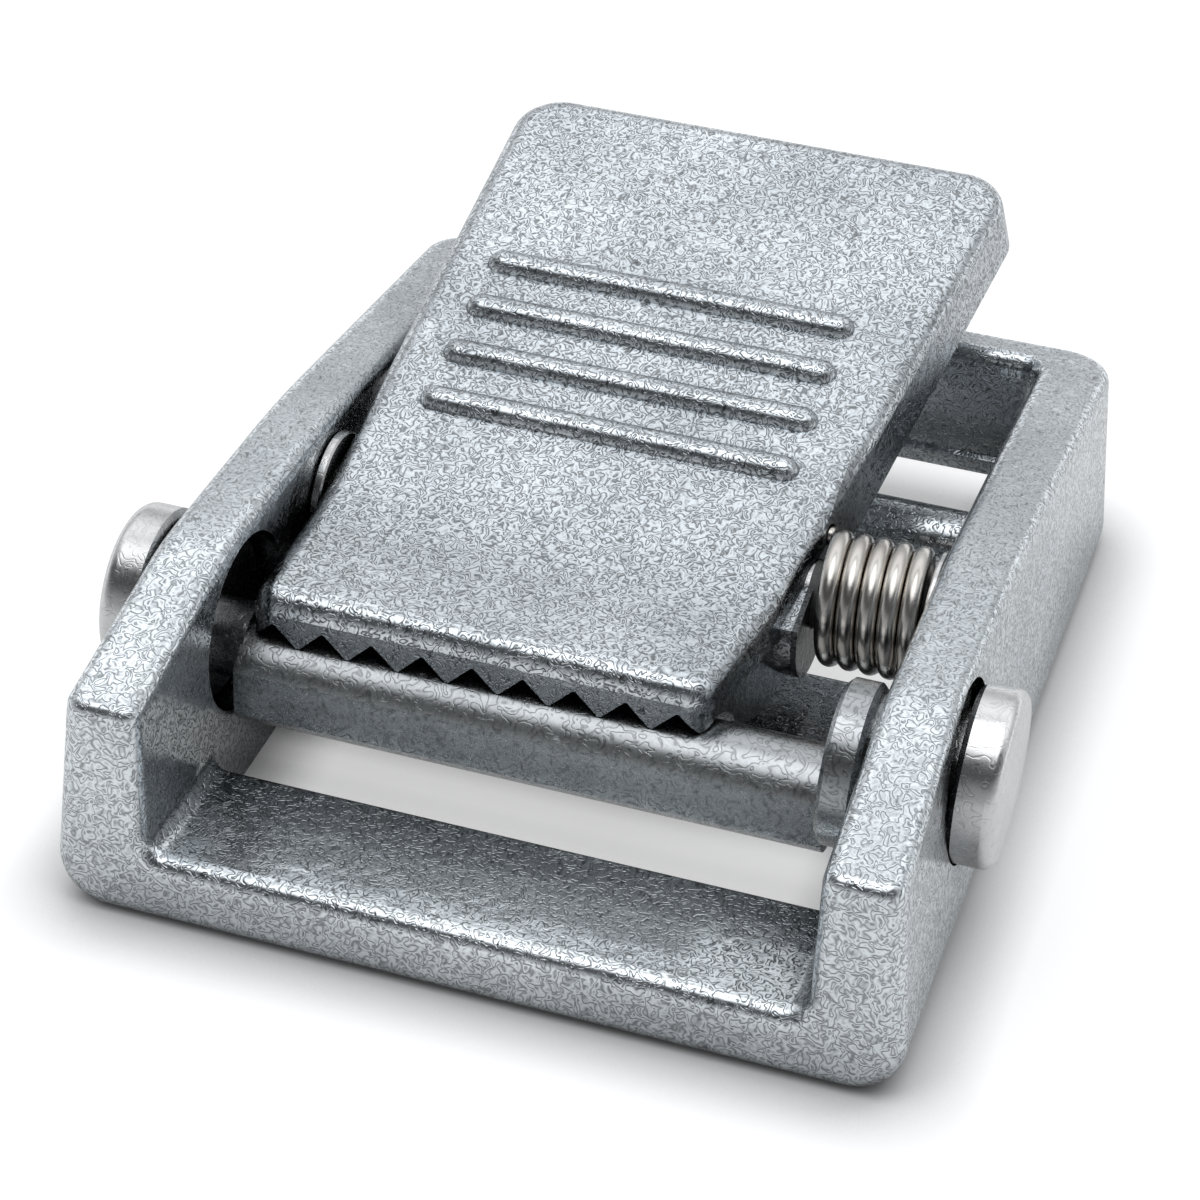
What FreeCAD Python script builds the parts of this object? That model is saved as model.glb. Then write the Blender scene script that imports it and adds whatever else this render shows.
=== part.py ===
import FreeCAD
import Part
import math
import os

Vector = FreeCAD.Vector

# Axes: X runs across the strap, Y runs from the front bar to the rear wall, Z is up from the seat.
# Dimensions are in millimetres, with Y measured from the front face until the parts are placed.

# Frame casting
FRAME_WIDTH = 34.0
FRAME_LENGTH = 44.8
CHEEK_THICKNESS = 3.0
CHEEK_FRONT_HEIGHT = 10.4
CHEEK_CROWN_Y = 9.4
CHEEK_CROWN_HEIGHT = 12.6
CHEEK_CROWN_RADIUS = 12.0
CHEEK_BACK_CROWN_Y = 22.0
CHEEK_BACK_CROWN_HEIGHT = 12.3
CHEEK_BACK_CROWN_RADIUS = 60.0
CHEEK_REAR_HEIGHT = 9.3
CHEEK_DRAFT_DEG = 5.5
BOTTOM_FRONT_RADIUS = 2.3
BOTTOM_REAR_RADIUS = 1.0
FRONT_CORNER_RADIUS = 0.9
REAR_CORNER_RADIUS = 2.5
INNER_CORNER_RADIUS = 0.9
MOUTH_EDGE_RADIUS = 0.75
TOP_EDGE_RADIUS = 0.65

FRONT_BAR_DEPTH = 7.3
FRONT_BAR_FRONT_HEIGHT = 3.35
FRONT_BAR_REAR_HEIGHT = 2.95
FRONT_BAR_REAR_RADIUS = 0.4
WEB_FRONT_Y = 16.4
WEB_REAR_Y = 22.6
WEB_BOTTOM = 1.0
WEB_TOP = 3.35
WEB_TOP_FRONT_RADIUS = 0.7
WEB_TOP_REAR_RADIUS = 0.5
MEMBER_LOWER_RADIUS = 0.4
MID_BAR_Y = 34.6
MID_BAR_WIDTH = 3.2
MID_BAR_BOTTOM = 1.35
MID_BAR_TOP = 5.15
MID_BAR_TOP_RADIUS = 1.55
REAR_WALL_THICKNESS = 2.4
REAR_WALL_BOTTOM = 2.9
REAR_WALL_EDGE_RADIUS = 0.6
REAR_LIP_HEIGHT = 0.8
REAR_LIP_DEPTH = 0.3
REAR_LIP_RADIUS = 0.1
MEMBER_ROOT_DEPTH = 0.5

# Clamp bar and its rivets
RIVET_Y = 11.3
RIVET_Z = 8.3
RIVET_SHANK_RADIUS = 1.8
RIVET_HEAD_RADIUS = 3.75
RIVET_NECK_RADIUS = 2.6
RIVET_HEAD_STANDOFF = 0.35
RIVET_HEAD_BAND = 1.4
RIVET_HEAD_BEVEL = 0.25
RIVET_HEAD_EDGE = 0.55
RIVET_DOME = 0.12
COUNTERBORE_RADIUS = 3.85
COUNTERBORE_DEPTH = 0.3
BAR_Y = 11.0
BAR_Z = 5.6
BAR_RADIUS = 2.23
BAR_FLAT_Y = 9.04
DISC_Y = 10.85
DISC_Z = 7.75
DISC_RADIUS = 3.5
DISC_THICKNESS = 1.5
DISC_EDGE = 0.2
SPACER_RADIUS = 2.4
SPACER_THICKNESS = 0.45
POCKET_Y = 11.2
POCKET_Z = 7.85
POCKET_RADIUS = 3.95
POCKET_DEPTH = 1.4
SUNK_DISC_RADIUS = 3.5
SUNK_DISC_THICKNESS = 0.45
NECK_Y = 11.4
NECK_Z = 6.7
NECK_RADIUS = 1.7
BAR_END_GAP = 0.3

# Pivot, washers and spring
PIVOT_Y = 21.0
PIVOT_Z = 8.55
PIN_RADIUS = 1.5
PIN_BLIND_DEPTH = 1.5
PIN_END_CHAMFER = 0.3
PIN_END_SUNK = 0.1
RUNNING_CLEARANCE = 0.05
LEFT_WASHER_RADIUS = 2.8
LEFT_WASHER_THICKNESS = 0.45
RIGHT_WASHER_RADIUS = 2.95
RIGHT_WASHER_THICKNESS = 0.3
WASHER_GAP = 0.05
WASHER_EDGE = 0.08
WIRE_RADIUS = 0.44
COIL_RADIUS = 2.55
COIL_PITCH = 0.9
COIL_SIDE_GAP = 0.15
COIL_WHOLE_TURNS = 4
COIL_END_ANGLE_DEG = 180.0
LEVER_LEG_RADIUS = 2.66
LEVER_LEG_ANGLE_DEG = 42.0
LEVER_LEG_DEPTH = 1.3
FRAME_LEG_RADIUS = 3.5
FRAME_LEG_DEPTH = 1.2
LEG_HOLE_RADIUS = 0.55
LEG_HOLE_SLACK = 0.2
LEG_BEND = 0.6

# Cam lever
LEVER_SIDE_GAP = 0.05
LEVER_FRONT_SPACE = 7.4
LEVER_REAR_SPACE = 2.9
LEVER_FRONT_Y = 10.2
LEVER_FRONT_TOP = 10.15
BEND_Y = 17.9
BEND_Z = 10.33
BEND_RADIUS = 22.0
HANDLE_TILT_DEG = 13.8
HANDLE_LENGTH = 29.1
HANDLE_THICKNESS = 3.0
HANDLE_LEFT_CORNER_RADIUS = 2.5
HANDLE_RIGHT_CORNER_RADIUS = 2.1
HANDLE_EDGE_RADIUS = 1.0
SIDE_DRAFT_DEG = 9.0
NOSE_CORNER_RADIUS = 1.15
TOOTH_CORNER_RADIUS = 1.0
PLATE_FRONT_THICKNESS = 1.1
PLATE_WEB_BOTTOM = 8.45
UNDERSIDE_START_Y = 25.6
WEB_INSET = 0.35
HUB_RADIUS = 3.7
SPRING_SPACE = 5.35
HUB_TOP_COVER = 1.2
TOOTH_COUNT = 9
TOOTH_DEPTH = 1.05
TOOTH_TIP_Z = 7.75
TOOTH_TIP_FLAT = 0.16
TOOTH_RUN = 2.9
TOOTH_ROOT_RADIUS = 0.12
RELIEF_Y = 11.3
RELIEF_Z = 5.5
RELIEF_RADIUS = 2.5
RELIEF_LAND = 0.15
RELIEF_LAND_RADIUS = 0.3
THROAT_Y = 15.4
THROAT_RADIUS = 1.2
BODY_STEP = 0.3
BODY_ROOT_DEPTH = 1.0
RIB_STATIONS = (7.1, 10.25, 13.4, 16.5)
RIB_LEFT_MARGIN = 2.3
RIB_RIGHT_MARGIN = 0.1
RIB_WIDTH = 1.5
RIB_HEIGHT = 0.55

# Places that follow from the frame's width
INNER_X = FRAME_WIDTH / 2 - CHEEK_THICKNESS
COUNTERBORE_X = FRAME_WIDTH / 2 - COUNTERBORE_DEPTH
RIVET_HEAD_X = FRAME_WIDTH / 2 + RIVET_HEAD_STANDOFF
HUB_FACE_X = INNER_X - SPRING_SPACE
COIL_START_X = HUB_FACE_X + COIL_SIDE_GAP + WIRE_RADIUS
LEVER_LEFT = -INNER_X + WASHER_GAP + LEFT_WASHER_THICKNESS + LEVER_SIDE_GAP
LEVER_FRONT_RIGHT = INNER_X - LEVER_FRONT_SPACE
LEVER_REAR_RIGHT = INNER_X - LEVER_REAR_SPACE
RIB_LEFT = LEVER_LEFT + RIB_LEFT_MARGIN
RIB_RIGHT = LEVER_FRONT_RIGHT - RIB_RIGHT_MARGIN
WIDE = 2 * FRAME_WIDTH
OVERLAP = 0.1
SLOPE = math.tan(math.radians(CHEEK_DRAFT_DEG))


# Outlines
def corner(before, point, after, radius):
    if radius <= 0:
        return point, None, point
    to_before = (before - point).normalize()
    to_after = (after - point).normalize()
    half = to_before.getAngle(to_after) / 2
    reach = radius / math.tan(half)
    bisector = (to_before + to_after).normalize()
    middle = point + bisector * (radius / math.sin(half) - radius)
    return point + to_before * reach, middle, point + to_after * reach


def rounded_face(outline, place):
    flat = [Vector(a, b, 0) for a, b, _ in outline]
    count = len(flat)
    corners = []
    for i in range(count):
        corners.append(corner(flat[i - 1], flat[i], flat[(i + 1) % count], outline[i][2]))
    edges = []
    for i in range(count):
        start, middle, end = corners[i]
        if middle is not None:
            edges.append(Part.Arc(place(start), place(middle), place(end)).toShape())
        following = corners[(i + 1) % count][0]
        if (following - end).Length > 1e-6:
            edges.append(Part.makeLine(place(end), place(following)))
    return Part.Face(Part.Wire(edges))


def side_prism(outline, x_start, x_end):
    face = rounded_face(outline, lambda p: Vector(x_start, p.x, p.y))
    return face.extrude(Vector(x_end - x_start, 0, 0))


def front_prism(outline, y_start, y_end):
    face = rounded_face(outline, lambda p: Vector(p.x, y_start, p.y))
    return face.extrude(Vector(0, y_end - y_start, 0))


def cross_cylinder(radius, x_start, x_end, y, z):
    return Part.makeCylinder(radius, x_end - x_start, Vector(x_start, y, z), Vector(1, 0, 0))


def edges_where(shape, test):
    chosen = []
    for edge in shape.Edges:
        if test(edge.CenterOfMass, edge.optimalBoundingBox(False, False)):
            chosen.append(edge)
    return chosen


def mirrored(shape):
    return shape.mirror(Vector(0, 0, 0), Vector(1, 0, 0))


def outer_x(z):
    return FRAME_WIDTH / 2 + SLOPE * (CHEEK_CROWN_HEIGHT - z)


# Frame casting: a drafted block hollowed to two cheeks, a front bar and a rear wall
def hollowed_block():
    side = (
        (0, 0, 0),
        (0, CHEEK_FRONT_HEIGHT, 0),
        (CHEEK_CROWN_Y, CHEEK_CROWN_HEIGHT, CHEEK_CROWN_RADIUS),
        (CHEEK_BACK_CROWN_Y, CHEEK_BACK_CROWN_HEIGHT, CHEEK_BACK_CROWN_RADIUS),
        (FRAME_LENGTH, CHEEK_REAR_HEIGHT, 0),
        (FRAME_LENGTH, 0, 0),
    )
    low = -1.0
    high = CHEEK_CROWN_HEIGHT + 1
    drafted = (
        (-outer_x(low), low, 0),
        (outer_x(low), low, 0),
        (outer_x(high), high, 0),
        (-outer_x(high), high, 0),
    )
    block = side_prism(side, -FRAME_WIDTH, FRAME_WIDTH)
    block = block.common(front_prism(drafted, low, FRAME_LENGTH + 1))
    wall_y = FRAME_LENGTH - REAR_WALL_THICKNESS
    hollow = (
        (0, FRONT_BAR_FRONT_HEIGHT, 0),
        (0, FRAME_WIDTH, 0),
        (wall_y, FRAME_WIDTH, 0),
        (wall_y, REAR_WALL_BOTTOM, 0),
        (FRAME_LENGTH, REAR_WALL_BOTTOM, 0),
        (FRAME_LENGTH, low, 0),
        (FRONT_BAR_DEPTH, low, 0),
        (FRONT_BAR_DEPTH, FRONT_BAR_REAR_HEIGHT, 0),
    )
    return block.cut(side_prism(hollow, -INNER_X, INNER_X))


def rounded_shell():
    wall_y = FRAME_LENGTH - REAR_WALL_THICKNESS
    inside = INNER_X + 0.01
    bar_low = FRONT_BAR_REAR_HEIGHT - 0.5
    top = CHEEK_REAR_HEIGHT - 0.1

    def on_inner_face(c):
        return abs(abs(c.x) - INNER_X) < 0.01

    def bottom_edge(c, b):
        return b.ZMax < 0.01 and b.YLength > FRAME_LENGTH - 1 and abs(c.x) > inside

    def bar_corner(c, b):
        on_bar = b.YMax < FRONT_BAR_DEPTH + 0.1 and bar_low < c.z < FRONT_BAR_FRONT_HEIGHT + 0.1
        return on_inner_face(c) and on_bar and b.YLength > 1

    def wall_corner(c, b):
        return on_inner_face(c) and abs(c.y - wall_y) < 0.01 and b.ZLength > 1

    def in_mouth(c):
        return abs(c.x) < inside and c.z > bar_low

    def front_outer(c, b):
        return b.YMax < 0.01 and c.z < CHEEK_FRONT_HEIGHT - 0.05 and not in_mouth(c)

    def rear_outer(c, b):
        return b.YMin > FRAME_LENGTH - 0.01 and c.z < top and abs(c.x) > inside

    def mouth_edge(c, b):
        return b.YMax < 0.01 and in_mouth(c)

    def top_edge(c, b):
        seam = b.YLength < 0.01 and 1 < c.y < wall_y - 0.5
        return c.z > top and b.ZMin > top and not seam

    def bar_rear(c, b):
        return abs(c.y - FRONT_BAR_DEPTH) < 0.01 and b.YLength < 0.01 and in_mouth(c)

    def wall_underside(c, b):
        level = abs(c.z - REAR_WALL_BOTTOM) < 0.1
        return b.YMin > FRAME_LENGTH - 0.01 and level and abs(c.x) < inside

    rounding = (
        (INNER_CORNER_RADIUS, bar_corner),
        (INNER_CORNER_RADIUS, wall_corner),
        (FRONT_CORNER_RADIUS, front_outer),
        (REAR_CORNER_RADIUS, rear_outer),
        (MOUTH_EDGE_RADIUS, mouth_edge),
        (TOP_EDGE_RADIUS, top_edge),
        (FRONT_BAR_REAR_RADIUS, bar_rear),
        (REAR_WALL_EDGE_RADIUS, wall_underside),
    )
    shell = hollowed_block()
    for side in (-1, 1):
        edge = edges_where(shell, lambda c, b: bottom_edge(c, b) and c.x * side > 0)[0]
        ends = (BOTTOM_FRONT_RADIUS, BOTTOM_REAR_RADIUS)
        if edge.firstVertex(True).Y > edge.lastVertex(True).Y:
            ends = ends[::-1]
        shell = shell.makeFillet(ends[0], ends[1], [edge])
    for radius, test in rounding:
        shell = shell.makeFillet(radius, edges_where(shell, test))
    return shell


# Low web, strap bar and the lip under the rear wall
def cross_members():
    web = (
        (WEB_FRONT_Y, WEB_BOTTOM, MEMBER_LOWER_RADIUS),
        (WEB_FRONT_Y, WEB_TOP, WEB_TOP_FRONT_RADIUS),
        (WEB_REAR_Y, WEB_TOP, WEB_TOP_REAR_RADIUS),
        (WEB_REAR_Y, WEB_BOTTOM, MEMBER_LOWER_RADIUS),
    )
    half = MID_BAR_WIDTH / 2
    mid_bar = (
        (MID_BAR_Y - half, MID_BAR_BOTTOM, MEMBER_LOWER_RADIUS),
        (MID_BAR_Y - half, MID_BAR_TOP, MID_BAR_TOP_RADIUS),
        (MID_BAR_Y + half, MID_BAR_TOP, MID_BAR_TOP_RADIUS),
        (MID_BAR_Y + half, MID_BAR_BOTTOM, MEMBER_LOWER_RADIUS),
    )
    wall_y = FRAME_LENGTH - REAR_WALL_THICKNESS
    lip_top = REAR_WALL_BOTTOM + REAR_LIP_HEIGHT
    root_y = wall_y + MEMBER_ROOT_DEPTH
    lip = (
        (wall_y - REAR_LIP_DEPTH, REAR_WALL_BOTTOM, REAR_LIP_RADIUS),
        (wall_y - REAR_LIP_DEPTH, lip_top, REAR_LIP_RADIUS),
        (root_y, lip_top + REAR_LIP_DEPTH, 0),
        (root_y, REAR_WALL_BOTTOM, 0),
    )
    reach = INNER_X + MEMBER_ROOT_DEPTH
    return [side_prism(outline, -reach, reach) for outline in (web, mid_bar, lip)]


def frame():
    body = rounded_shell().fuse(cross_members()).removeSplitter()
    cuts = []
    for side in (-1, 1):
        start = side * COUNTERBORE_X
        end = side * FRAME_WIDTH
        low, high = min(start, end), max(start, end)
        cuts.append(cross_cylinder(COUNTERBORE_RADIUS, low, high, RIVET_Y, RIVET_Z))
    cuts.append(cross_cylinder(RIVET_SHANK_RADIUS, -WIDE, WIDE, RIVET_Y, RIVET_Z))
    pocket_start = -INNER_X - POCKET_DEPTH
    cuts.append(cross_cylinder(POCKET_RADIUS, pocket_start, -INNER_X + 1, POCKET_Y, POCKET_Z))
    cuts.append(cross_cylinder(PIN_RADIUS, -WIDE, INNER_X + PIN_BLIND_DEPTH, PIVOT_Y, PIVOT_Z))
    leg_end = INNER_X + FRAME_LEG_DEPTH + LEG_HOLE_SLACK
    leg_y, leg_z = frame_leg_point()
    cuts.append(cross_cylinder(LEG_HOLE_RADIUS, 0, leg_end, leg_y, leg_z))
    for cut in cuts:
        body = body.cut(cut)
    return body


# Clamp bar: a flat-faced round bar with a disc at each end, riveted through the cheeks
def clamp_bar():
    right_disc_end = INNER_X - SPACER_THICKNESS
    right_disc_start = right_disc_end - DISC_THICKNESS
    left_end = -INNER_X - POCKET_DEPTH
    bar_end = -INNER_X + BAR_END_GAP
    bar = cross_cylinder(BAR_RADIUS, bar_end, right_disc_start + OVERLAP, BAR_Y, BAR_Z)
    flat = Part.makeBox(WIDE, BAR_RADIUS, 2 * BAR_RADIUS,
                        Vector(-FRAME_WIDTH, BAR_FLAT_Y - BAR_RADIUS, BAR_Z - BAR_RADIUS))
    bar = bar.cut(flat)
    disc = cross_cylinder(DISC_RADIUS, right_disc_start, right_disc_end, DISC_Y, DISC_Z)
    disc = disc.makeChamfer(DISC_EDGE, edges_where(disc, lambda c, b: b.XLength < 0.01))
    spacer = cross_cylinder(SPACER_RADIUS, right_disc_end - OVERLAP, INNER_X, RIVET_Y, RIVET_Z)
    sunk_face = left_end + SUNK_DISC_THICKNESS
    sunk = cross_cylinder(SUNK_DISC_RADIUS, left_end, sunk_face, POCKET_Y, POCKET_Z)
    neck = cross_cylinder(NECK_RADIUS, left_end, bar_end + OVERLAP, NECK_Y, NECK_Z)
    body = bar.fuse([disc, spacer, sunk, neck]).removeSplitter()
    body = body.cut(cross_cylinder(RIVET_SHANK_RADIUS, right_disc_start, WIDE, RIVET_Y, RIVET_Z))
    return body.cut(cross_cylinder(RIVET_SHANK_RADIUS, -WIDE, sunk_face, RIVET_Y, RIVET_Z))


# Rivets: a shank through cheek and disc, closed by a mushroom head in the counterbore
def rivet(shank_end):
    rim = RIVET_HEAD_RADIUS
    edge = RIVET_HEAD_EDGE
    face = rim - edge
    band_x = RIVET_HEAD_X + RIVET_HEAD_BAND
    crown_x = band_x + edge
    turn = Vector(band_x + edge * math.sin(math.pi / 4), face + edge * math.cos(math.pi / 4), 0)
    dome_radius = (face ** 2 + RIVET_DOME ** 2) / (2 * RIVET_DOME)
    dome_x = crown_x + RIVET_DOME - dome_radius
    dome_half = math.asin(face / dome_radius) / 2
    dome_middle = Vector(dome_x + dome_radius * math.cos(dome_half), dome_radius * math.sin(dome_half), 0)
    axis_start = Vector(shank_end, 0, 0)
    axis_end = Vector(dome_x + dome_radius, 0, 0)
    straight = [
        axis_end,
        axis_start,
        Vector(shank_end, RIVET_SHANK_RADIUS, 0),
        Vector(COUNTERBORE_X, RIVET_SHANK_RADIUS, 0),
        Vector(COUNTERBORE_X, RIVET_NECK_RADIUS, 0),
        Vector(RIVET_HEAD_X, RIVET_NECK_RADIUS, 0),
        Vector(RIVET_HEAD_X, rim - RIVET_HEAD_BEVEL, 0),
        Vector(RIVET_HEAD_X + RIVET_HEAD_BEVEL, rim, 0),
        Vector(band_x, rim, 0),
    ]
    edges = [Part.makeLine(p, q) for p, q in zip(straight, straight[1:])]
    crown = Vector(crown_x, face, 0)
    edges.append(Part.Arc(straight[-1], turn, crown).toShape())
    edges.append(Part.Arc(crown, dome_middle, axis_end).toShape())
    solid = Part.Face(Part.Wire(edges)).revolve(Vector(0, 0, 0), Vector(1, 0, 0), 360)
    solid.translate(Vector(0, RIVET_Y, RIVET_Z))
    return solid


# Pivot pin and its two washers
def pivot_pin():
    left = -outer_x(PIVOT_Z) + PIN_END_SUNK
    pin = cross_cylinder(PIN_RADIUS, left, INNER_X + PIN_BLIND_DEPTH, PIVOT_Y, PIVOT_Z)
    return pin.makeChamfer(PIN_END_CHAMFER, edges_where(pin, lambda c, b: b.XLength < 0.01))


def washer(radius, x_start, thickness):
    ring = cross_cylinder(radius, x_start, x_start + thickness, PIVOT_Y, PIVOT_Z)
    ring = ring.makeChamfer(WASHER_EDGE, edges_where(ring, lambda c, b: b.XLength < 0.01))
    bore = PIN_RADIUS + RUNNING_CLEARANCE
    return ring.cut(cross_cylinder(bore, -WIDE, WIDE, PIVOT_Y, PIVOT_Z))


# Torsion spring: close coils round the pin, one leg in the lever and one in the cheek
def leg_reach(radius):
    return math.sqrt(radius ** 2 - COIL_RADIUS ** 2)


def coil_start_angle():
    return math.radians(LEVER_LEG_ANGLE_DEG) + math.acos(COIL_RADIUS / LEVER_LEG_RADIUS)


def coil_end_angle():
    return math.radians(COIL_END_ANGLE_DEG + 360 * COIL_WHOLE_TURNS)


def coil_length():
    return COIL_PITCH * (coil_end_angle() - coil_start_angle()) / (2 * math.pi)


def leg_point(angle, reach):
    drop = reach * COIL_RADIUS / math.hypot(COIL_RADIUS, COIL_PITCH / (2 * math.pi))
    y = COIL_RADIUS * math.cos(angle) - drop * math.sin(angle)
    z = COIL_RADIUS * math.sin(angle) + drop * math.cos(angle)
    return PIVOT_Y + y, PIVOT_Z + z


def lever_leg_point():
    return leg_point(coil_start_angle(), -leg_reach(LEVER_LEG_RADIUS))


def frame_leg_point():
    return leg_point(coil_end_angle(), leg_reach(FRAME_LEG_RADIUS))


def leg_edges(start, outward, reach, side, tip_x):
    elbow = start + outward * reach
    turn = outward.getAngle(side)
    bisector = (side - outward).normalize()
    half = (math.pi - turn) / 2
    radius = LEG_BEND * math.tan(half)
    middle = elbow + bisector * (radius / math.sin(half) - radius)
    bend_start = elbow - outward * LEG_BEND
    bend_end = elbow + side * LEG_BEND
    tip = Vector(tip_x, elbow.y, elbow.z)
    return [
        Part.makeLine(start, bend_start),
        Part.Arc(bend_start, middle, bend_end).toShape(),
        Part.makeLine(bend_end, tip),
    ]


def torsion_spring():
    helix = Part.makeHelix(COIL_PITCH, coil_length(), COIL_RADIUS)
    helix.rotate(Vector(0, 0, 0), Vector(0, 0, 1), math.degrees(coil_start_angle()))
    helix.rotate(Vector(0, 0, 0), Vector(1, 1, 1), 120)
    helix.translate(Vector(COIL_START_X, PIVOT_Y, PIVOT_Z))
    coil = helix.Edges[0]
    left = Vector(-1, 0, 0)
    right = Vector(1, 0, 0)
    start = coil.valueAt(coil.FirstParameter)
    end = coil.valueAt(coil.LastParameter)
    start_out = coil.tangentAt(coil.FirstParameter) * -1
    end_out = coil.tangentAt(coil.LastParameter)
    lever_tip_x = HUB_FACE_X - LEVER_LEG_DEPTH
    frame_tip_x = INNER_X + FRAME_LEG_DEPTH
    lever_leg = leg_edges(start, start_out, leg_reach(LEVER_LEG_RADIUS), left, lever_tip_x)
    frame_leg = leg_edges(end, end_out, leg_reach(FRAME_LEG_RADIUS), right, frame_tip_x)
    path = Part.Wire(lever_leg[::-1] + [coil] + frame_leg)
    leg_y, leg_z = lever_leg_point()
    section = Part.Wire(Part.makeCircle(WIRE_RADIUS, Vector(lever_tip_x, leg_y, leg_z), right))
    return path.makePipeShell([section], True, False)


# Cam lever: drafted handle plate over a narrower body that carries the hub and the teeth
def handle_point(along, above=0.0):
    tilt = math.radians(HANDLE_TILT_DEG)
    y = BEND_Y + along * math.cos(tilt) - above * math.sin(tilt)
    z = BEND_Z + along * math.sin(tilt) + above * math.cos(tilt)
    return y, z


def right_side_x(y, z):
    rear_y, rear_z = handle_point(HANDLE_LENGTH)
    draft = math.tan(math.radians(SIDE_DRAFT_DEG))
    rise = draft * (rear_z - LEVER_FRONT_TOP)
    flare = (LEVER_REAR_RIGHT - LEVER_FRONT_RIGHT + rise) / (rear_y - LEVER_FRONT_Y)
    return LEVER_FRONT_RIGHT + flare * (y - LEVER_FRONT_Y) - draft * (z - LEVER_FRONT_TOP)


def plan_wire(z, rear_y):
    outline = (
        (LEVER_LEFT, LEVER_FRONT_Y, NOSE_CORNER_RADIUS),
        (right_side_x(LEVER_FRONT_Y, z), LEVER_FRONT_Y, NOSE_CORNER_RADIUS),
        (right_side_x(rear_y, z), rear_y, HANDLE_RIGHT_CORNER_RADIUS),
        (LEVER_LEFT, rear_y, HANDLE_LEFT_CORNER_RADIUS),
    )
    return rounded_face(outline, lambda p: Vector(p.x, p.y, z)).OuterWire


def handle_plate():
    top_rear = handle_point(HANDLE_LENGTH)
    bottom_rear = handle_point(HANDLE_LENGTH, -HANDLE_THICKNESS)
    along = (UNDERSIDE_START_Y - BEND_Y) / math.cos(math.radians(HANDLE_TILT_DEG))
    under_start = handle_point(along, -HANDLE_THICKNESS)
    outline = (
        (LEVER_FRONT_Y - 1, LEVER_FRONT_TOP, 0),
        (BEND_Y, BEND_Z, BEND_RADIUS),
        (top_rear[0] + 2, top_rear[1] + 2 * math.tan(math.radians(HANDLE_TILT_DEG)), 0),
        (bottom_rear[0] + 2, bottom_rear[1] + 2 * math.tan(math.radians(HANDLE_TILT_DEG)), 0),
        (under_start[0], under_start[1], 0),
        (BEND_Y, PLATE_WEB_BOTTOM, 0),
        (LEVER_FRONT_Y - 1, LEVER_FRONT_TOP - PLATE_FRONT_THICKNESS, 0),
    )
    low = PLATE_WEB_BOTTOM - 1
    high = top_rear[1] + 1
    lean = (top_rear[0] - bottom_rear[0]) / (top_rear[1] - bottom_rear[1])
    rear_low = top_rear[0] + lean * (low - top_rear[1])
    rear_high = top_rear[0] + lean * (high - top_rear[1])
    block = Part.makeLoft([plan_wire(low, rear_low), plan_wire(high, rear_high)], True, True)
    plate = block.common(side_prism(outline, -FRAME_WIDTH, FRAME_WIDTH))

    def top_edge(c, b):
        seam = b.YLength < 0.01 and LEVER_FRONT_Y + 1 < c.y < top_rear[0] - 1
        return on_top(c, 0.25) and not seam

    def on_top(c, within):
        y, z = c.y, c.z
        level = LEVER_FRONT_TOP + (y - LEVER_FRONT_Y) * (BEND_Z - LEVER_FRONT_TOP) / (BEND_Y - LEVER_FRONT_Y)
        tilted = BEND_Z + (y - BEND_Y) * math.tan(math.radians(HANDLE_TILT_DEG))
        return z > max(level, tilted) - within

    return plate.makeFillet(HANDLE_EDGE_RADIUS, edges_where(plate, top_edge))


def lever_body():
    bottom = PIVOT_Z - HUB_RADIUS + BODY_STEP
    rear = PIVOT_Y + BODY_ROOT_DEPTH
    plate_root = PLATE_WEB_BOTTOM + BODY_ROOT_DEPTH
    outline = (
        (LEVER_FRONT_Y, LEVER_FRONT_TOP - HANDLE_EDGE_RADIUS, 0),
        (LEVER_FRONT_Y, TOOTH_TIP_Z, 0),
        (RELIEF_Y, RELIEF_Z, 0),
        (RELIEF_Y + RELIEF_RADIUS + RELIEF_LAND, RELIEF_Z, RELIEF_LAND_RADIUS),
        (THROAT_Y, bottom, THROAT_RADIUS),
        (rear, bottom, 0),
        (rear, plate_root, 0),
        (BEND_Y, plate_root, 0),
    )
    body = side_prism(outline, LEVER_LEFT, FRAME_WIDTH / 2)
    side = (
        (LEVER_LEFT, LEVER_FRONT_Y, TOOTH_CORNER_RADIUS),
        (LEVER_FRONT_RIGHT, LEVER_FRONT_Y, TOOTH_CORNER_RADIUS),
        (right_side_x(rear, PLATE_WEB_BOTTOM) - WEB_INSET, rear, 0),
        (LEVER_LEFT, rear, 0),
    )
    face = rounded_face(side, lambda p: Vector(p.x, p.y, 0))
    body = body.common(face.extrude(Vector(0, 0, FRAME_WIDTH)))
    return body.cut(cross_cylinder(RELIEF_RADIUS, -WIDE, WIDE, RELIEF_Y, RELIEF_Z))


def tooth_grooves():
    pitch = (LEVER_FRONT_RIGHT - LEVER_LEFT) / TOOTH_COUNT
    half = (pitch - TOOTH_TIP_FLAT) / 2
    low = TOOTH_TIP_Z - TOOTH_DEPTH
    spread = 2 * half
    grooves = []
    for i in range(TOOTH_COUNT):
        centre = LEVER_LEFT + (i + 0.5) * pitch
        outline = (
            (centre - spread, low, 0),
            (centre, TOOTH_TIP_Z + TOOTH_DEPTH, TOOTH_ROOT_RADIUS),
            (centre + spread, low, 0),
        )
        grooves.append(front_prism(outline, LEVER_FRONT_Y - 1, LEVER_FRONT_Y + TOOTH_RUN))
    return grooves


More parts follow.
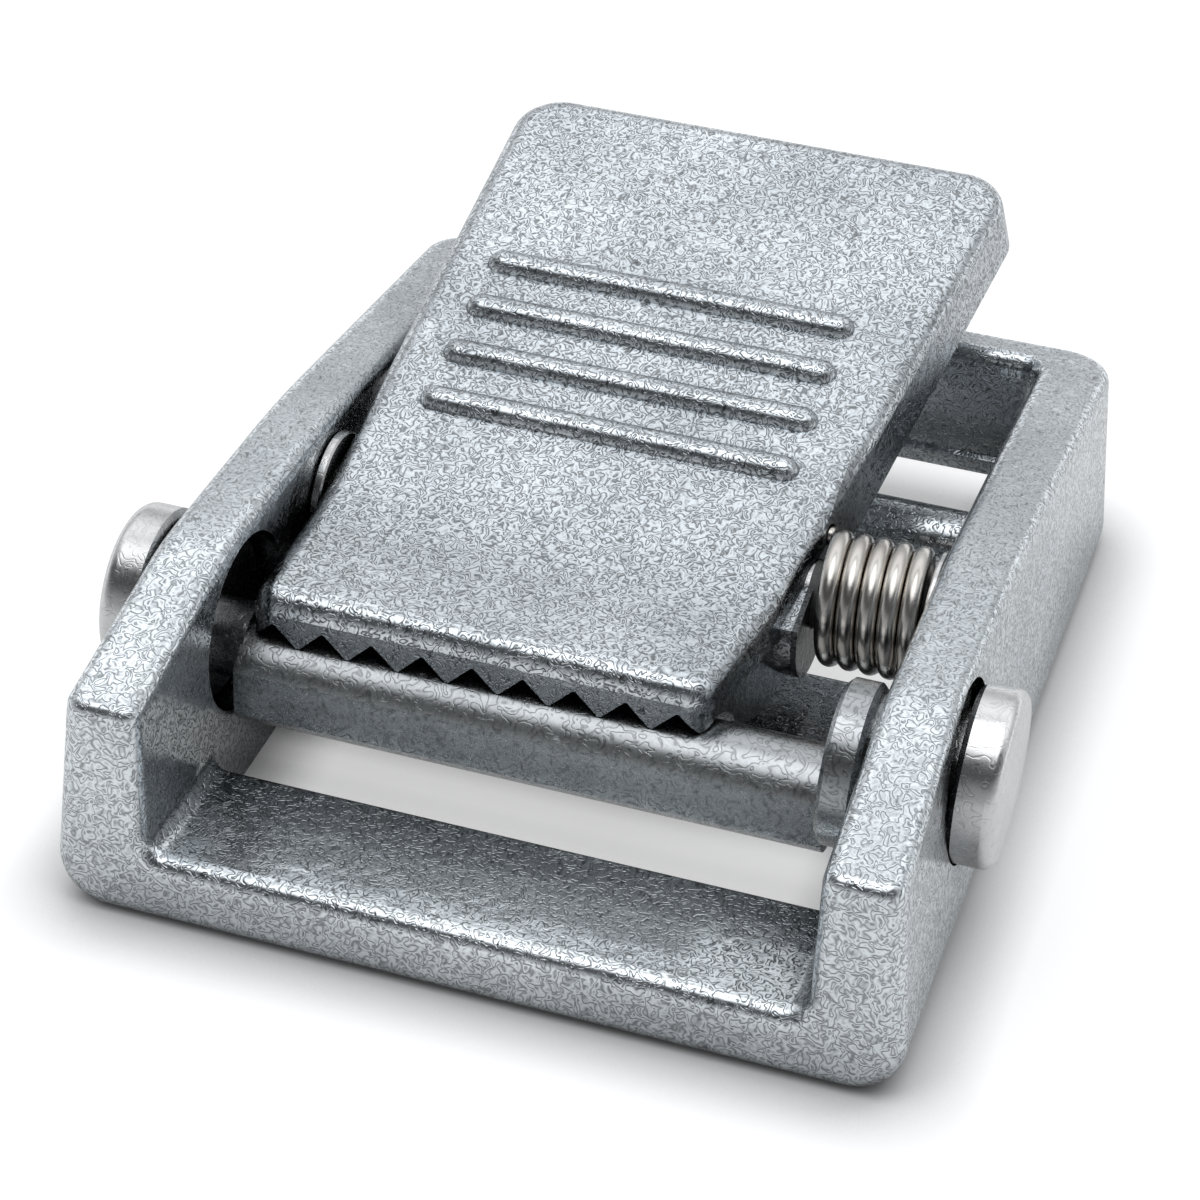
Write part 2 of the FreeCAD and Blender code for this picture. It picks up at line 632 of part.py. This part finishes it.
def grip_ribs():
    radius = ((RIB_WIDTH / 2) ** 2 + RIB_HEIGHT ** 2) / (2 * RIB_HEIGHT)
    ribs = []
    for station in RIB_STATIONS:
        y, z = handle_point(station, RIB_HEIGHT - radius)
        start = RIB_LEFT + RIB_WIDTH / 2
        end = RIB_RIGHT - RIB_WIDTH / 2
        ribs.append(cross_cylinder(radius, start, end, y, z))
        ribs.append(Part.makeSphere(radius, Vector(start, y, z)))
        ribs.append(Part.makeSphere(radius, Vector(end, y, z)))
    return ribs


def cam_lever():
    hub = cross_cylinder(HUB_RADIUS, LEVER_LEFT, HUB_FACE_X, PIVOT_Y, PIVOT_Z)
    under_y, under_z = handle_point(PIVOT_Y - BEND_Y, -HUB_TOP_COVER)
    cover_slope = math.tan(math.radians(HANDLE_TILT_DEG))
    below = (
        (under_y - FRAME_WIDTH, under_z - FRAME_WIDTH * cover_slope, 0),
        (under_y + FRAME_WIDTH, under_z + FRAME_WIDTH * cover_slope, 0),
        (under_y + FRAME_WIDTH, -FRAME_WIDTH, 0),
        (under_y - FRAME_WIDTH, -FRAME_WIDTH, 0),
    )
    hub = hub.common(side_prism(below, -FRAME_WIDTH, FRAME_WIDTH))
    lever = handle_plate().fuse([lever_body(), hub] + grip_ribs()).removeSplitter()
    for groove in tooth_grooves():
        lever = lever.cut(groove)
    bore = PIN_RADIUS + RUNNING_CLEARANCE
    lever = lever.cut(cross_cylinder(bore, -WIDE, WIDE, PIVOT_Y, PIVOT_Z))
    leg_y, leg_z = lever_leg_point()
    leg_start = HUB_FACE_X - LEVER_LEG_DEPTH - LEG_HOLE_SLACK
    return lever.cut(cross_cylinder(LEG_HOLE_RADIUS, leg_start, WIDE, leg_y, leg_z))


# Write every piece, with the origin under the middle of the whole buckle
def export(name, shape):
    handle_end_y = handle_point(HANDLE_LENGTH, -HANDLE_THICKNESS)[0]
    placed = shape.copy()
    placed.translate(Vector(0, -handle_end_y / 2, 0))
    placed.exportStep("parts/" + name + ".step")
    print(name, "valid", placed.isValid(), "solids", len(placed.Solids), "volume", round(placed.Volume, 2))


def main():
    os.makedirs("parts", exist_ok=True)
    export("frame", frame())
    export("clamp_bar", clamp_bar())
    right_shank = INNER_X - SPACER_THICKNESS - DISC_THICKNESS
    left_shank = INNER_X + POCKET_DEPTH - SUNK_DISC_THICKNESS
    export("rivet_right", rivet(right_shank))
    export("rivet_left", mirrored(rivet(left_shank)))
    export("pivot_pin", pivot_pin())
    left_washer_x = -INNER_X + WASHER_GAP
    export("washer_left", washer(LEFT_WASHER_RADIUS, left_washer_x, LEFT_WASHER_THICKNESS))
    right_washer_x = INNER_X - WASHER_GAP - RIGHT_WASHER_THICKNESS
    export("washer_right", washer(RIGHT_WASHER_RADIUS, right_washer_x, RIGHT_WASHER_THICKNESS))
    export("torsion_spring", torsion_spring())
    export("cam_lever", cam_lever())


main()
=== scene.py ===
import math

import bmesh
import bpy
from mathutils import Matrix, Vector


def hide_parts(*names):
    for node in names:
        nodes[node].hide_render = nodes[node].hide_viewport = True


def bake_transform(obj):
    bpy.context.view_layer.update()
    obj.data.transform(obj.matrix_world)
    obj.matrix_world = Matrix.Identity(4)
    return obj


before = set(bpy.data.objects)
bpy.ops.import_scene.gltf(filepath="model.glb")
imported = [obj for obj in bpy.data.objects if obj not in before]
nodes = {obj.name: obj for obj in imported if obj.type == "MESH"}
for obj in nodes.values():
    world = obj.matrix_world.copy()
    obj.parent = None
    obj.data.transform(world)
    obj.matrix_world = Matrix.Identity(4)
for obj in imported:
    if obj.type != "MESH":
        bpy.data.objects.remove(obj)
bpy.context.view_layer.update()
print("loaded", len(nodes), "pieces")


# a plain value is set on the socket, and another node's output is linked to it
def linkInto(tree, source, socket):
    if isinstance(source, bpy.types.NodeSocket):
        tree.links.new(source, socket)
    else:
        socket.default_value = source


def addNode(tree, kind, where, inputs=None, **settings):
    node = tree.nodes.new(kind)
    node.location = where
    for name, value in settings.items():
        setattr(node, name, value)
    for name, value in (inputs or {}).items():
        linkInto(tree, value, node.inputs[name])
    return node


def mathNode(tree, operation, values, where, clamp=False):
    node = addNode(tree, "ShaderNodeMath", where, operation=operation, use_clamp=clamp)
    for value, socket in zip(values, node.inputs):
        linkInto(tree, value, socket)
    return node.outputs[0]


def vectorNode(tree, operation, values, where):
    node = addNode(tree, "ShaderNodeVectorMath", where, operation=operation)
    for value, socket in zip(values, node.inputs):
        linkInto(tree, value, socket)
    return node.outputs["Value" if operation == "LENGTH" else "Vector"]


def scaledVector(tree, vector, factor, where):
    node = addNode(tree, "ShaderNodeVectorMath", where, operation="SCALE")
    linkInto(tree, vector, node.inputs[0])
    linkInto(tree, factor, node.inputs["Scale"])
    return node.outputs["Vector"]


def rampNode(tree, source, stops, where):
    node = addNode(tree, "ShaderNodeValToRGB", where, {"Fac": source})
    ramp = node.color_ramp
    for i, (position, colour) in enumerate(stops):
        stop = ramp.elements[i] if i < 2 else ramp.elements.new(position)
        stop.position = position
        stop.color = (*colour, 1.0)
    return node.outputs["Color"]


# dark tone below darkAt, light tone above lightAt, and a blend between
def toneRamp(tree, source, look, where):
    stops = [(look["darkAt"], look["darkTone"]), (look["lightAt"], look["lightTone"])]
    return rampNode(tree, source, stops, where)


def noiseNode(tree, vector, scale, detail, where):
    return addNode(tree, "ShaderNodeTexNoise", where, {"Vector": vector, "Scale": scale, "Detail": detail})


# every group takes a place vector, then the named values
def newGroup(name, inputs, outputs):
    tree = bpy.data.node_groups.new(name, "ShaderNodeTree")
    tree.interface.new_socket("Vector", in_out="INPUT", socket_type="NodeSocketVector")
    for label, value in inputs.items():
        socket = tree.interface.new_socket(label, in_out="INPUT", socket_type="NodeSocketFloat")
        socket.default_value = value
    for label in outputs:
        tree.interface.new_socket(label, in_out="OUTPUT", socket_type="NodeSocketFloat")
    given = addNode(tree, "NodeGroupInput", (-1400, 0)).outputs
    out = addNode(tree, "NodeGroupOutput", (900, 0)).inputs
    return tree, given, out


wormShape = {
    "wander": 1.2,       # how far the lines are pulled about, in cells
    "turns": 18.0,       # phase in radians for one unit of the noise
    "grooveRate": 1.8,   # higher makes the dark lines thinner
    "glintPower": 6.0,  # higher makes the painted highlight on the crests thinner
    "swellShare": 0.45,  # cells of the swell for each cell of the lines
}


# curled lines are the height lines of a noise that another noise pulls about:
# wave = |sin(turns x noise)|, groove = wave x grooveRate up to 1, paintedGlint = wave ^ glintPower, a painted
# highlight on the crests between the lines
def wormGroup(shape):
    tree, given, out = newGroup("wormyGrooves", {"Cells per Metre": 2600.0}, ("Groove", "PaintedGlint", "Swell"))
    cells = given["Cells per Metre"]
    warp = noiseNode(tree, given["Vector"], cells, 0.0, (-1150, -200))
    centred = vectorNode(tree, "SUBTRACT", (warp.outputs["Color"], (0.5, 0.5, 0.5)), (-950, -200))
    reach = mathNode(tree, "DIVIDE", (shape["wander"], cells), (-950, -400))
    moved = scaledVector(tree, centred, reach, (-750, -200))
    place = vectorNode(tree, "ADD", (given["Vector"], moved), (-550, -100))
    line = noiseNode(tree, place, cells, 1.0, (-350, 100))
    phase = mathNode(tree, "MULTIPLY", (line.outputs["Fac"], shape["turns"]), (-150, 100))
    sine = mathNode(tree, "SINE", (phase,), (0, 100))
    wave = mathNode(tree, "ABSOLUTE", (sine,), (150, 100))
    groove = mathNode(tree, "MULTIPLY", (wave, shape["grooveRate"]), (300, 100), clamp=True)
    paintedGlint = mathNode(tree, "POWER", (wave, shape["glintPower"]), (300, -50))
    swellCells = mathNode(tree, "MULTIPLY", (cells, shape["swellShare"]), (-550, -400))
    swell = noiseNode(tree, place, swellCells, 1.0, (-350, -300))
    linkInto(tree, groove, out["Groove"])
    linkInto(tree, paintedGlint, out["PaintedGlint"])
    linkInto(tree, swell.outputs["Fac"], out["Swell"])
    return tree


pitShape = {"largest": 0.22}  # radius of the largest pit, in cells


# pit = 1 near a cell's middle, within a radius of its own, in the given share of the cells
def pitGroup(shape):
    tree, given, out = newGroup("castPits", {"Cells per Metre": 1500.0, "Share": 0.35}, ("Pit",))
    cells = addNode(tree, "ShaderNodeTexVoronoi", (-900, 0), {
        "Vector": given["Vector"], "Scale": given["Cells per Metre"]})
    parts = addNode(tree, "ShaderNodeSeparateColor", (-700, -200), {"Color": cells.outputs["Color"]})
    chosen = mathNode(tree, "LESS_THAN", (parts.outputs[0], given["Share"]), (-500, -200))
    radius = mathNode(tree, "MULTIPLY", (parts.outputs[1], shape["largest"]), (-500, 0))
    near = mathNode(tree, "LESS_THAN", (cells.outputs["Distance"], radius), (-300, 0))
    linkInto(tree, mathNode(tree, "MULTIPLY", (near, chosen), (-100, 0)), out["Pit"])
    return tree


cloudShape = {"grainPerMetre": 9000.0}


# patch and grain are plain noises about one half, slow and fine
def cloudGroup(shape):
    tree, given, out = newGroup("metalClouds", {"Patches per Metre": 160.0}, ("Patch", "Grain"))
    patch = noiseNode(tree, given["Vector"], given["Patches per Metre"], 2.0, (-600, 100))
    grain = noiseNode(tree, given["Vector"], shape["grainPerMetre"], 1.0, (-600, -200))
    linkInto(tree, patch.outputs["Fac"], out["Patch"])
    linkInto(tree, grain.outputs["Fac"], out["Grain"])
    return tree


wormyGrooves = wormGroup(wormShape)
castPits = pitGroup(pitShape)
metalClouds = cloudGroup(cloudShape)
print("surface groups ready")


def newMaterial(name):
    material = bpy.data.materials.new(name)
    material.use_nodes = True
    material.node_tree.nodes.clear()
    return material, material.node_tree


def intoSurface(tree, shader, where=(400, 0)):
    output = addNode(tree, "ShaderNodeOutputMaterial", where)
    tree.links.new(shader.outputs[0], output.inputs["Surface"])


# one of the groups above at a place, with its values by name
def useGroup(tree, group, place, where, values):
    return addNode(tree, "ShaderNodeGroup", where, dict(values, Vector=place), node_tree=group).outputs


# heights are in millimetres
def bumpNode(tree, height, where):
    bump = addNode(tree, "ShaderNodeBump", where, {"Height": height, "Strength": 1.0, "Distance": 0.001})
    return bump.outputs["Normal"]


# shade x (1 - mask x share)
def darkened(tree, shade, mask, share, where):
    kept = mathNode(tree, "MULTIPLY_ADD", (mask, -share, 1.0), where)
    return mathNode(tree, "MULTIPLY", (shade, kept), (where[0] + 130, where[1] + 250))


# painted shade about the pivot, on the lever's hub end and the pin beside the spring
hubPaintedShade = {
    "centre": (0.0, -0.002438, 0.00855),  # on the pivot's axis
    "inner": 0.0045, "outer": 0.0085,     # radii of full painted shade and of none
    "ragged": 0.002,                      # how far the patches push its rim
    "endFace": 0.0084,                    # right of this, at the end of the hub
    "top": 0.0125,                        # below this, under the handle plate
    "shade": 0.75,
}


# painted shade beside the spring: hubShadeAmount = 1 within the inner radius about the pivot's axis and 0 past the
# outer one, only by the end of the hub that faces the spring
def hubShadeMask(tree, place, patch):
    centred = vectorNode(tree, "SUBTRACT", (place, hubPaintedShade["centre"]), (-1200, -700))
    flat = vectorNode(tree, "MULTIPLY", (centred, (0.0, 1.0, 1.0)), (-1050, -700))
    away = vectorNode(tree, "LENGTH", (flat,), (-900, -700))
    ragged = mathNode(tree, "MULTIPLY_ADD", (patch, hubPaintedShade["ragged"], away), (-750, -700))
    near = addNode(tree, "ShaderNodeMapRange", (-600, -700), {
        "Value": ragged, "From Min": hubPaintedShade["outer"], "From Max": hubPaintedShade["inner"]}, clamp=True)
    parts = addNode(tree, "ShaderNodeSeparateXYZ", (-900, -900), {"Vector": place})
    atEnd = mathNode(tree, "GREATER_THAN", (parts.outputs["X"], hubPaintedShade["endFace"]), (-700, -900))
    below = mathNode(tree, "LESS_THAN", (parts.outputs["Z"], hubPaintedShade["top"]), (-700, -1050))
    side = mathNode(tree, "MULTIPLY", (atEnd, below), (-550, -950))
    return mathNode(tree, "MULTIPLY", (near.outputs["Result"], side), (-400, -800))


# top = 0 below topStart and 1 above topEnd, as heights over the floor; it paints shade on the bar's top under the
# lever's teeth
def topMask(tree, place, look):
    height = addNode(tree, "ShaderNodeSeparateXYZ", (-800, -750), {"Vector": place}).outputs["Z"]
    upward = addNode(tree, "ShaderNodeMapRange", (-600, -750), {
        "Value": height, "From Min": look["topStart"], "From Max": look["topEnd"]}, clamp=True)
    return upward.outputs["Result"]


# shade = (1 - grooveLift + grooveLift x groove + paintedGlintLift x paintedGlint - pitDarkness x pit) x
# nookShadeFactor; the glints are painted highlight, the nook factor is painted shade in corners, and the grooves
# are the casting's pattern with painted shade in them
def zincShade(tree, look, worms, pits):
    # darker in the sunk lines: the casting's pattern, and painted shade in its grooves
    grooveTone = mathNode(
        tree, "MULTIPLY_ADD", (worms["Groove"], look["grooveLift"], 1.0 - look["grooveLift"]), (-800, 0))
    # painted highlight: lighter colour on the crests between the lines
    paintedGlintTone = mathNode(tree, "MULTIPLY_ADD", (worms["PaintedGlint"], look["paintedGlintLift"], grooveTone), (-700, 80))
    pitTone = mathNode(tree, "MULTIPLY", (pits["Pit"], look["pitDarkness"]), (-800, -100))
    lined = mathNode(tree, "SUBTRACT", (paintedGlintTone, pitTone), (-600, -50))
    # painted shade: the colour is darkened by ambient occlusion in corners and recesses
    nook = addNode(tree, "ShaderNodeAmbientOcclusion", (-800, -550), {"Distance": look["nookReach"]}, samples=2)
    nookShadeFactor = mathNode(
        tree, "MULTIPLY_ADD", (nook.outputs["AO"], look["nookRate"], look["nookStart"]), (-600, -550), clamp=True)
    return mathNode(tree, "MULTIPLY", (lined, nookShadeFactor), (-450, -100))


# height = grooveDepth x groove + swellDepth x swell - pitDepth x pit
def zincHeight(tree, look, worms, pits):
    grooveHeight = mathNode(tree, "MULTIPLY", (worms["Groove"], look["grooveDepth"]), (-800, 350))
    swellHeight = mathNode(tree, "MULTIPLY", (worms["Swell"], look["swellDepth"]), (-800, 500))
    raised = mathNode(tree, "ADD", (grooveHeight, swellHeight), (-600, 400))
    sunk = mathNode(tree, "MULTIPLY", (pits["Pit"], look["pitDepth"]), (-600, 250))
    return mathNode(tree, "SUBTRACT", (raised, sunk), (-400, 350))


def zincMaterial(name, look):
    material, tree = newMaterial(name)
    place = addNode(tree, "ShaderNodeTexCoord", (-1400, 0)).outputs["Object"]
    worms = useGroup(tree, wormyGrooves, place, (-1100, 200), {"Cells per Metre": look["wormsPerMetre"]})
    pits = useGroup(tree, castPits, place, (-1100, -50), {
        "Cells per Metre": look["pitsPerMetre"], "Share": look["pitShare"]})
    clouds = useGroup(tree, metalClouds, place, (-1100, -300), {"Patches per Metre": look["patchesPerMetre"]})
    shade = zincShade(tree, look, worms, pits)
    metallic = 1.0
    # painted shade on the hub's end and the pin beside the spring: darker colour, and less metallic so it stays
    # dark at a glancing angle
    if look["hubShaded"]:
        hubShadeAmount = hubShadeMask(tree, place, clouds["Patch"])
        shade = darkened(tree, shade, hubShadeAmount, hubPaintedShade["shade"], (-450, -350))
        metallic = mathNode(tree, "SUBTRACT", (1.0, hubShadeAmount), (-200, -450))
    # painted shade: darker colour over the top of the clamp bar, under the lever's teeth
    if look["topShade"]:
        shade = darkened(tree, shade, topMask(tree, place, look), look["topShade"], (-450, -650))
    colour = scaledVector(tree, toneRamp(tree, clouds["Patch"], look, (-800, -300)), shade, (-250, -200))
    roughness = mathNode(
        tree, "MULTIPLY_ADD", (clouds["Grain"], look["grainRoughness"], look["roughness"]), (-400, -350))
    intoSurface(tree, addNode(tree, "ShaderNodeBsdfPrincipled", (100, 0), {
        "Base Color": colour, "Roughness": roughness, "Metallic": metallic, "Specular IOR Level": 0.1,
        "Normal": bumpNode(tree, zincHeight(tree, look, worms, pits), (-200, 300))}))
    return material


castingLook = {
    "wormsPerMetre": 2050.0, "pitsPerMetre": 1300.0, "pitShare": 0.25, "patchesPerMetre": 150.0,
    "darkTone": (0.52, 0.552, 0.575), "darkAt": 0.25, "lightTone": (0.68, 0.715, 0.74), "lightAt": 0.75,
    "grooveLift": 0.55, "paintedGlintLift": 0.38, "pitDarkness": 0.12,
    "roughness": 0.12, "grainRoughness": 0.16,
    "grooveDepth": 0.013, "swellDepth": 0.034, "pitDepth": 0.006,
    "nookReach": 0.007, "nookRate": 1.0, "nookStart": 0.2,  # painted shade: corners this near get darker colour, and how fast
    "hubShaded": False, "topShade": 0.0,
}
leverLook = dict(
    castingLook, wormsPerMetre=2150.0, grooveLift=0.65, paintedGlintLift=0.5,
    darkTone=(0.39, 0.416, 0.438), lightTone=(0.545, 0.575, 0.598), hubShaded=True)
barLook = dict(
    castingLook, wormsPerMetre=1500.0, grooveLift=0.4, paintedGlintLift=0.1, grooveDepth=0.005, swellDepth=0.015,
    darkTone=(0.7, 0.73, 0.75), lightTone=(0.88, 0.91, 0.93), roughness=0.2,
    nookRate=0.8, nookStart=0.4, topShade=0.5, topStart=0.0063, topEnd=0.0072)
rivetLook = dict(
    castingLook, wormsPerMetre=1300.0, grooveLift=0.12, paintedGlintLift=0.0, grooveDepth=0.004, swellDepth=0.012,
    darkTone=(0.64, 0.64, 0.64), lightTone=(0.76, 0.76, 0.76), roughness=0.16)
# the pin takes the same painted shade beside the spring as the lever's hub
pinLook = dict(rivetLook, hubShaded=True)

springLook = {
    "patchesPerMetre": 420.0,
    "darkTone": (0.48, 0.45, 0.42), "darkAt": 0.3, "lightTone": (0.73, 0.7, 0.66), "lightAt": 0.7,
    "roughness": 0.14, "patchRoughness": 0.14, "grainDepth": 0.002,
    "legInLever": 0.0015, "legInCheek": 0.0019,  # how far in from each end the winding starts
}


# polished drawn wire, slightly brown, with a little tarnish
def springMaterial(name, look):
    material, tree = newMaterial(name)
    place = addNode(tree, "ShaderNodeTexCoord", (-1200, 0)).outputs["Object"]
    clouds = useGroup(tree, metalClouds, place, (-900, 0), {"Patches per Metre": look["patchesPerMetre"]})
    roughness = mathNode(
        tree, "MULTIPLY_ADD", (clouds["Patch"], look["patchRoughness"], look["roughness"]), (-400, -250))
    fine = mathNode(tree, "MULTIPLY", (clouds["Grain"], look["grainDepth"]), (-600, 250))
    intoSurface(tree, addNode(tree, "ShaderNodeBsdfPrincipled", (100, 0), {
        "Base Color": toneRamp(tree, clouds["Patch"], look, (-600, 0)), "Roughness": roughness,
        "Metallic": 1.0, "Normal": bumpNode(tree, fine, (-300, 250))}))
    return material


finishes = {
    "frame": zincMaterial("castZinc", castingLook),
    "cam_lever": zincMaterial("leverZinc", leverLook),
    "clamp_bar": zincMaterial("barZinc", barLook),
    "rivet_right": zincMaterial("platedSteel", rivetLook),
    "pivot_pin": zincMaterial("hubShadedPin", pinLook),
    "torsion_spring": springMaterial("springWire", springLook),
}
for twin in ("rivet_left", "washer_right", "washer_left"):
    finishes[twin] = finishes["rivet_right"]
for name, piece in nodes.items():
    piece.data.materials.clear()
    piece.data.materials.append(finishes[name])
print("materials on", len(finishes), "pieces")


# a merged, smooth-shaded copy of the spring's own mesh, with its leg in the lever and its leg in the cheek,
# put in the scene in place of the hidden torsion_spring
def windingSpring(name):
    mesh = nodes["torsion_spring"].data.copy()
    merged = bmesh.new()
    merged.from_mesh(mesh)
    bmesh.ops.remove_doubles(merged, verts=merged.verts, dist=1e-6)
    merged.to_mesh(mesh)
    merged.free()
    mesh.shade_smooth()
    spring = bpy.data.objects.new(name, mesh)
    bpy.context.scene.collection.objects.link(spring)
    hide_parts("torsion_spring")
    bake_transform(spring)


windingSpring("winding_spring")

paper = {
    "size": 2.4, "glow": 0.57, "roughness": 0.85,
    "mirrorShare": 0.52,                              # of the glow, in reflections
    "contactReach": 0.0035, "contactRate": 2.0, "contactStart": -1.0,  # painted contact shadow in the glow where the buckle stands
    "patchesPerMetre": 12.0,
    "darkTone": (0.53, 0.53, 0.53), "darkAt": 0.2, "lightTone": (0.55, 0.55, 0.55), "lightAt": 0.8,
}


# white paper whose glow carries a painted contact shadow: glow x max(camera ray, mirrored ray x share) x
# contactShadowFactor
def paperMaterial(name, look):
    material, tree = newMaterial(name)
    path = addNode(tree, "ShaderNodeLightPath", (-900, 0)).outputs
    bounced = mathNode(tree, "MAXIMUM", (path["Is Glossy Ray"], path["Is Transmission Ray"]), (-700, -100))
    mirrored = mathNode(tree, "MULTIPLY", (bounced, look["mirrorShare"]), (-600, -100))
    seen = mathNode(tree, "MAXIMUM", (path["Is Camera Ray"], mirrored), (-500, 0))
    nook = addNode(tree, "ShaderNodeAmbientOcclusion", (-700, 150), {"Distance": look["contactReach"]}, samples=4)
    contactShadowFactor = mathNode(
        tree, "MULTIPLY_ADD", (nook.outputs["AO"], look["contactRate"], look["contactStart"]), (-500, 150),
        clamp=True)
    lit = mathNode(tree, "MULTIPLY", (seen, contactShadowFactor), (-400, 50))
    strength = mathNode(tree, "MULTIPLY", (lit, look["glow"]), (-300, 0))
    place = addNode(tree, "ShaderNodeTexCoord", (-900, 300)).outputs["Object"]
    clouds = useGroup(tree, metalClouds, place, (-700, 300), {"Patches per Metre": look["patchesPerMetre"]})
    intoSurface(tree, addNode(tree, "ShaderNodeBsdfPrincipled", (100, 0), {
        "Base Color": toneRamp(tree, clouds["Patch"], look, (-450, 300)), "Roughness": look["roughness"],
        "Specular IOR Level": 0.0, "Emission Color": (1.0, 1.0, 1.0, 1.0), "Emission Strength": strength}))
    return material


def paperFloor(name, look):
    half = look["size"] / 2
    mesh = bpy.data.meshes.new(name)
    mesh.from_pydata([(-half, -half, 0), (half, -half, 0), (half, half, 0), (-half, half, 0)], [], [(0, 1, 2, 3)])
    mesh.materials.append(paperMaterial("whitePaper", look))
    floor = bpy.data.objects.new(name, mesh)
    bpy.context.scene.collection.objects.link(floor)


paperFloor("floor", paper)

sky = {
    "tone": (0.98, 1.0, 1.02),
    "turnRate": 2.0, "turnStart": 0.6,  # how the front sky gives way to the back one
    # (upward part of the direction, level)
    "front": [(0.0, 0.5), (0.25, 0.4), (0.5, 0.07), (0.8, 0.1), (0.9, 1.8), (1.0, 2.8)],
    "back": [(0.0, 1.2), (0.12, 1.15), (0.28, 0.5), (0.5, 0.72), (0.62, 1.0), (0.86, 1.4), (0.93, 0.6), (1.0, 2.8)],
}


# white where the camera sees it, and a softly graded studio for the light on the metal
def studioWorld(name, look):
    world = bpy.data.worlds.new(name)
    bpy.context.scene.world = world
    world.use_nodes = True
    tree = world.node_tree
    tree.nodes.clear()
    path = addNode(tree, "ShaderNodeLightPath", (-900, 200))
    direction = addNode(tree, "ShaderNodeTexCoord", (-1300, -100)).outputs["Generated"]
    parts = addNode(tree, "ShaderNodeSeparateXYZ", (-1100, -100), {"Vector": direction})
    behind = mathNode(
        tree, "MULTIPLY_ADD", (parts.outputs["Y"], look["turnRate"], look["turnStart"]), (-900, 0), clamp=True)
    halves = []
    for i, side in enumerate(("front", "back")):
        stops = [(height, tuple(level * share for share in look["tone"])) for height, level in look[side]]
        colour = rampNode(tree, parts.outputs["Z"], stops, (-700, -100 - 250 * i))
        halves.append(addNode(tree, "ShaderNodeBackground", (-450, -100 - 250 * i), {"Color": colour}).outputs[0])
    light = addNode(tree, "ShaderNodeMixShader", (-200, -100), {0: behind, 1: halves[0], 2: halves[1]})
    white = addNode(tree, "ShaderNodeBackground", (-300, 100), {"Color": (1, 1, 1, 1), "Strength": 1.0})
    mixed = addNode(tree, "ShaderNodeMixShader", (0, 0), {
        0: path.outputs["Is Camera Ray"], 1: light.outputs[0], 2: white.outputs[0]})
    output = addNode(tree, "ShaderNodeOutputWorld", (300, 0))
    tree.links.new(mixed.outputs[0], output.inputs["Surface"])


studioWorld("studio", sky)

lampLook = {
    "size": (0.4, 0.3), "watts": 0.5, "tone": (1.0, 1.0, 1.0), "place": (-0.25, -0.4, 0.45), "aim": (0, 0, 0.01),
}


def areaLight(name, look):
    data = bpy.data.lights.new(name, "AREA")
    data.shape = "RECTANGLE"
    data.size, data.size_y = look["size"]
    data.energy = look["watts"]
    data.color = look["tone"]
    lamp = bpy.data.objects.new(name, data)
    bpy.context.scene.collection.objects.link(lamp)
    lamp.location = look["place"]
    lamp.rotation_euler = (Vector(look["aim"]) - Vector(look["place"])).to_track_quat("-Z", "Y").to_euler()
    lamp.visible_glossy = False  # it fills the paper and draws no spot on the metal


areaLight("paperFill", lampLook)

cameraLook = {
    "azimuth": 16.1194, "elevation": 34.6924, "roll": 2.8561, "distance": 0.143652,
    "target": (-0.000549, -0.004601, 0.007344), "lens": 98.7915, "sensor": 36.0,
}


# the camera stands at azimuth and elevation about the target, turned by the roll
def placeCamera(look):
    data = bpy.data.cameras.new("camera")
    data.lens = look["lens"]
    data.sensor_width = look["sensor"]
    data.clip_start = 0.005
    data.clip_end = 20.0
    camera = bpy.data.objects.new("camera", data)
    bpy.context.scene.collection.objects.link(camera)
    azimuth, elevation, roll = (math.radians(look[key]) for key in ("azimuth", "elevation", "roll"))
    back = Vector((math.sin(azimuth) * math.cos(elevation), -math.cos(azimuth) * math.cos(elevation),
                   math.sin(elevation)))
    flat = Vector((math.cos(azimuth), math.sin(azimuth), 0.0))
    upright = back.cross(flat)
    right = math.cos(roll) * flat + math.sin(roll) * upright
    up = math.cos(roll) * upright - math.sin(roll) * flat
    turn = Matrix((right, up, back)).transposed().to_4x4()
    camera.matrix_world = Matrix.Translation(Vector(look["target"]) + back * look["distance"]) @ turn
    bpy.context.scene.camera = camera


placeCamera(cameraLook)
bpy.context.scene.view_settings.view_transform = "Standard"
print("studio ready")
